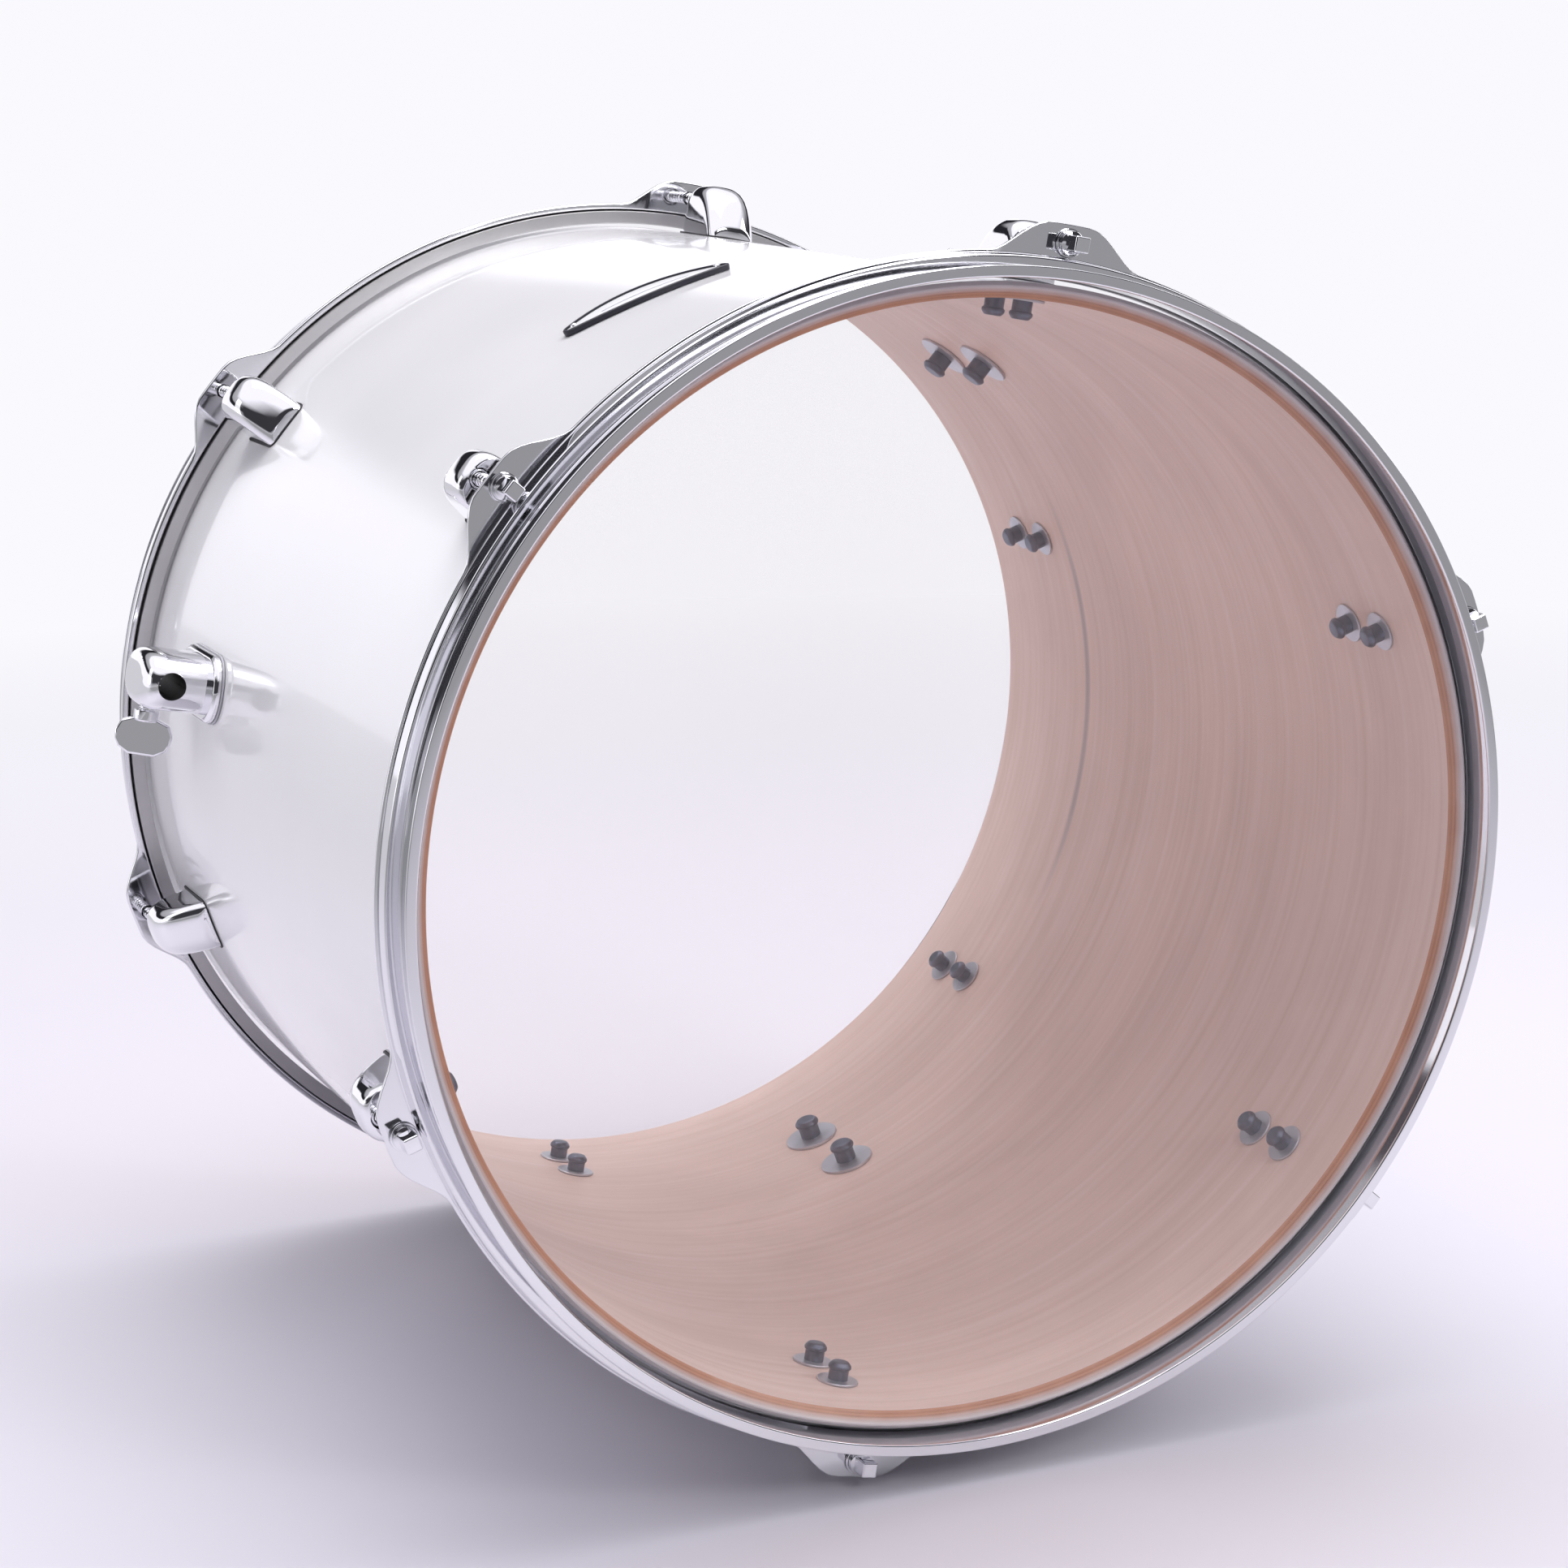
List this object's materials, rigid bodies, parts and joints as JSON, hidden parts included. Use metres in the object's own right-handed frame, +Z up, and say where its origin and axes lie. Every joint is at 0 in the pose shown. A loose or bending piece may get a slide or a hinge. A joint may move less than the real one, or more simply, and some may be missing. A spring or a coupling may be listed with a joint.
{
  "type": "floor tom drum",
  "caption": "Legless floor tom drum lying on its side, with a white shell, clear heads, chrome hoops, lugs, tension rods and leg brackets.",
  "frame": {"origin": "on the surface the drum lies on, under the middle of its bounding box", "axes": "drum axis along Y with the batter head facing -Y and the resonant head facing +Y, +Z up, +X to the right seen from the batter head"},
  "size_m": [0.5008, 0.4312, 0.4945],
  "materials": {
    "shell": "gloss white outside, bare maple inside, brown stained bearing edges",
    "film": "clear polyester film",
    "aluminium": "satin",
    "chrome": "bright chrome plate",
    "rubber": "matt",
    "brass": "machined",
    "badge": "white face with a black rim"
  },
  "bodies": {
    "drum": {"shell": "shell", "batter_head_film": "film", "batter_flesh_hoop": "aluminium", "batter_hoop": "chrome", "batter_lug_1": "chrome", "batter_lug_2": "chrome", "batter_lug_3": "chrome", "batter_lug_4": "chrome", "batter_lug_5": "chrome", "batter_lug_6": "chrome", "resonant_head_film": "film", "resonant_flesh_hoop": "aluminium", "resonant_hoop": "chrome", "resonant_lug_1": "chrome", "resonant_lug_2": "chrome", "resonant_lug_3": "chrome", "resonant_lug_4": "chrome", "resonant_lug_5": "chrome", "resonant_lug_6": "chrome", "leg_bracket_gasket_1": "rubber", "leg_bracket_1": "chrome", "leg_bracket_gasket_2": "rubber", "leg_bracket_2": "chrome", "leg_bracket_gasket_3": "rubber", "leg_bracket_3": "chrome", "badge": "badge", "badge_pin_1": "chrome", "badge_pin_2": "chrome"},
    "batter_washer_1": {"batter_washer_1": "chrome"},
    "batter_tension_rod_1": {"batter_tension_rod_1": "chrome"},
    "batter_washer_2": {"batter_washer_2": "chrome"},
    "batter_tension_rod_2": {"batter_tension_rod_2": "chrome"},
    "batter_washer_3": {"batter_washer_3": "chrome"},
    "batter_tension_rod_3": {"batter_tension_rod_3": "chrome"},
    "batter_washer_4": {"batter_washer_4": "chrome"},
    "batter_tension_rod_4": {"batter_tension_rod_4": "chrome"},
    "batter_washer_5": {"batter_washer_5": "chrome"},
    "batter_tension_rod_5": {"batter_tension_rod_5": "chrome"},
    "batter_washer_6": {"batter_washer_6": "chrome"},
    "batter_tension_rod_6": {"batter_tension_rod_6": "chrome"},
    "resonant_washer_1": {"resonant_washer_1": "chrome"},
    "resonant_tension_rod_1": {"resonant_tension_rod_1": "chrome"},
    "resonant_washer_2": {"resonant_washer_2": "chrome"},
    "resonant_tension_rod_2": {"resonant_tension_rod_2": "chrome"},
    "resonant_washer_3": {"resonant_washer_3": "chrome"},
    "resonant_tension_rod_3": {"resonant_tension_rod_3": "chrome"},
    "resonant_washer_4": {"resonant_washer_4": "chrome"},
    "resonant_tension_rod_4": {"resonant_tension_rod_4": "chrome"},
    "resonant_washer_5": {"resonant_washer_5": "chrome"},
    "resonant_tension_rod_5": {"resonant_tension_rod_5": "chrome"},
    "resonant_washer_6": {"resonant_washer_6": "chrome"},
    "resonant_tension_rod_6": {"resonant_tension_rod_6": "chrome"},
    "leg_clamp_pad_1": {"leg_clamp_pad_1": "brass"},
    "wing_screw_1": {"wing_screw_1": "chrome"},
    "leg_clamp_pad_2": {"leg_clamp_pad_2": "brass"},
    "wing_screw_2": {"wing_screw_2": "chrome"},
    "leg_clamp_pad_3": {"leg_clamp_pad_3": "brass"},
    "wing_screw_3": {"wing_screw_3": "chrome"}
  },
  "joints": [
    {"name": "batter_rod_lift_1", "type": "slide", "parent": "drum", "child": "batter_washer_1", "axis": [0, -1, 0], "range_m": [0, 0.00424]},
    {"name": "batter_rod_turn_1", "type": "hinge", "parent": "batter_washer_1", "child": "batter_tension_rod_1", "pos_m": [0.24089, -0.2032, 0.32485], "axis": [0, -1, 0], "range_deg": [0, 1440]},
    {"name": "batter_rod_lift_2", "type": "slide", "parent": "drum", "child": "batter_washer_2", "axis": [0, -1, 0], "range_m": [0, 0.00424]},
    {"name": "batter_rod_turn_2", "type": "hinge", "parent": "batter_washer_2", "child": "batter_tension_rod_2", "pos_m": [0.05833, -0.2032, 0.48583], "axis": [0, -1, 0], "range_deg": [0, 1440]},
    {"name": "batter_rod_lift_3", "type": "slide", "parent": "drum", "child": "batter_washer_3", "axis": [0, -1, 0], "range_m": [0, 0.00424]},
    {"name": "batter_rod_turn_3", "type": "hinge", "parent": "batter_washer_3", "child": "batter_tension_rod_3", "pos_m": [-0.17237, -0.2032, 0.40821], "axis": [0, -1, 0], "range_deg": [0, 1440]},
    {"name": "batter_rod_lift_4", "type": "slide", "parent": "drum", "child": "batter_washer_4", "axis": [0, -1, 0], "range_m": [0, 0.00424]},
    {"name": "batter_rod_turn_4", "type": "hinge", "parent": "batter_washer_4", "child": "batter_tension_rod_4", "pos_m": [-0.22049, -0.2032, 0.16961], "axis": [0, -1, 0], "range_deg": [0, 1440]},
    {"name": "batter_rod_lift_5", "type": "slide", "parent": "drum", "child": "batter_washer_5", "axis": [0, -1, 0], "range_m": [0, 0.00424]},
    {"name": "batter_rod_turn_5", "type": "hinge", "parent": "batter_washer_5", "child": "batter_tension_rod_5", "pos_m": [-0.03793, -0.2032, 0.00864], "axis": [0, -1, 0], "range_deg": [0, 1440]},
    {"name": "batter_rod_lift_6", "type": "slide", "parent": "drum", "child": "batter_washer_6", "axis": [0, -1, 0], "range_m": [0, 0.00424]},
    {"name": "batter_rod_turn_6", "type": "hinge", "parent": "batter_washer_6", "child": "batter_tension_rod_6", "pos_m": [0.19276, -0.2032, 0.08625], "axis": [0, -1, 0], "range_deg": [0, 1440]},
    {"name": "resonant_rod_lift_1", "type": "slide", "parent": "drum", "child": "resonant_washer_1", "axis": [0, 1, 0], "range_m": [0, 0.00424]},
    {"name": "resonant_rod_turn_1", "type": "hinge", "parent": "resonant_washer_1", "child": "resonant_tension_rod_1", "pos_m": [0.24089, 0.2032, 0.32485], "axis": [0, 1, 0], "range_deg": [0, 1440]},
    {"name": "resonant_rod_lift_2", "type": "slide", "parent": "drum", "child": "resonant_washer_2", "axis": [0, 1, 0], "range_m": [0, 0.00424]},
    {"name": "resonant_rod_turn_2", "type": "hinge", "parent": "resonant_washer_2", "child": "resonant_tension_rod_2", "pos_m": [0.05833, 0.2032, 0.48583], "axis": [0, 1, 0], "range_deg": [0, 1440]},
    {"name": "resonant_rod_lift_3", "type": "slide", "parent": "drum", "child": "resonant_washer_3", "axis": [0, 1, 0], "range_m": [0, 0.00424]},
    {"name": "resonant_rod_turn_3", "type": "hinge", "parent": "resonant_washer_3", "child": "resonant_tension_rod_3", "pos_m": [-0.17237, 0.2032, 0.40821], "axis": [0, 1, 0], "range_deg": [0, 1440]},
    {"name": "resonant_rod_lift_4", "type": "slide", "parent": "drum", "child": "resonant_washer_4", "axis": [0, 1, 0], "range_m": [0, 0.00424]},
    {"name": "resonant_rod_turn_4", "type": "hinge", "parent": "resonant_washer_4", "child": "resonant_tension_rod_4", "pos_m": [-0.22049, 0.2032, 0.16961], "axis": [0, 1, 0], "range_deg": [0, 1440]},
    {"name": "resonant_rod_lift_5", "type": "slide", "parent": "drum", "child": "resonant_washer_5", "axis": [0, 1, 0], "range_m": [0, 0.00424]},
    {"name": "resonant_rod_turn_5", "type": "hinge", "parent": "resonant_washer_5", "child": "resonant_tension_rod_5", "pos_m": [-0.03793, 0.2032, 0.00864], "axis": [0, 1, 0], "range_deg": [0, 1440]},
    {"name": "resonant_rod_lift_6", "type": "slide", "parent": "drum", "child": "resonant_washer_6", "axis": [0, 1, 0], "range_m": [0, 0.00424]},
    {"name": "resonant_rod_turn_6", "type": "hinge", "parent": "resonant_washer_6", "child": "resonant_tension_rod_6", "pos_m": [0.19276, 0.2032, 0.08625], "axis": [0, 1, 0], "range_deg": [0, 1440]},
    {"name": "leg_clamp_travel_1", "type": "slide", "parent": "drum", "child": "leg_clamp_pad_1", "axis": [-0.7501, 0, 0.6614], "range_m": [-0.00251, 0.00376]},
    {"name": "wing_screw_turn_1", "type": "hinge", "parent": "leg_clamp_pad_1", "child": "wing_screw_1", "pos_m": [0.17389, 0.1088, 0.43287], "axis": [-0.7501, 0, 0.6614], "range_deg": [-720, 1080]},
    {"name": "leg_clamp_travel_2", "type": "slide", "parent": "drum", "child": "leg_clamp_pad_2", "axis": [-0.1977, 0, -0.9803], "range_m": [-0.00251, 0.00376]},
    {"name": "wing_screw_turn_2", "type": "hinge", "parent": "leg_clamp_pad_2", "child": "wing_screw_2", "pos_m": [-0.23242, 0.1088, 0.29617], "axis": [-0.1977, 0, -0.9803], "range_deg": [-720, 1080]},
    {"name": "leg_clamp_travel_3", "type": "slide", "parent": "drum", "child": "leg_clamp_pad_3", "axis": [0.9478, 0, 0.3189], "range_m": [-0.00251, 0.00376]},
    {"name": "wing_screw_turn_3", "type": "hinge", "parent": "leg_clamp_pad_3", "child": "wing_screw_3", "pos_m": [0.08912, 0.1088, 0.01265], "axis": [0.9478, 0, 0.3189], "range_deg": [-720, 1080]}
  ],
  "couplings": [
    {"joint": "batter_rod_lift_1", "follows": "batter_rod_turn_1", "m_per_rad": 0.00016844},
    {"joint": "batter_rod_lift_2", "follows": "batter_rod_turn_2", "m_per_rad": 0.00016844},
    {"joint": "batter_rod_lift_3", "follows": "batter_rod_turn_3", "m_per_rad": 0.00016844},
    {"joint": "batter_rod_lift_4", "follows": "batter_rod_turn_4", "m_per_rad": 0.00016844},
    {"joint": "batter_rod_lift_5", "follows": "batter_rod_turn_5", "m_per_rad": 0.00016844},
    {"joint": "batter_rod_lift_6", "follows": "batter_rod_turn_6", "m_per_rad": 0.00016844},
    {"joint": "resonant_rod_lift_1", "follows": "resonant_rod_turn_1", "m_per_rad": 0.00016844},
    {"joint": "resonant_rod_lift_2", "follows": "resonant_rod_turn_2", "m_per_rad": 0.00016844},
    {"joint": "resonant_rod_lift_3", "follows": "resonant_rod_turn_3", "m_per_rad": 0.00016844},
    {"joint": "resonant_rod_lift_4", "follows": "resonant_rod_turn_4", "m_per_rad": 0.00016844},
    {"joint": "resonant_rod_lift_5", "follows": "resonant_rod_turn_5", "m_per_rad": 0.00016844},
    {"joint": "resonant_rod_lift_6", "follows": "resonant_rod_turn_6", "m_per_rad": 0.00016844},
    {"joint": "leg_clamp_travel_1", "follows": "wing_screw_turn_1", "m_per_rad": 0.00019894},
    {"joint": "leg_clamp_travel_2", "follows": "wing_screw_turn_2", "m_per_rad": 0.00019894},
    {"joint": "leg_clamp_travel_3", "follows": "wing_screw_turn_3", "m_per_rad": 0.00019894}
  ]
}
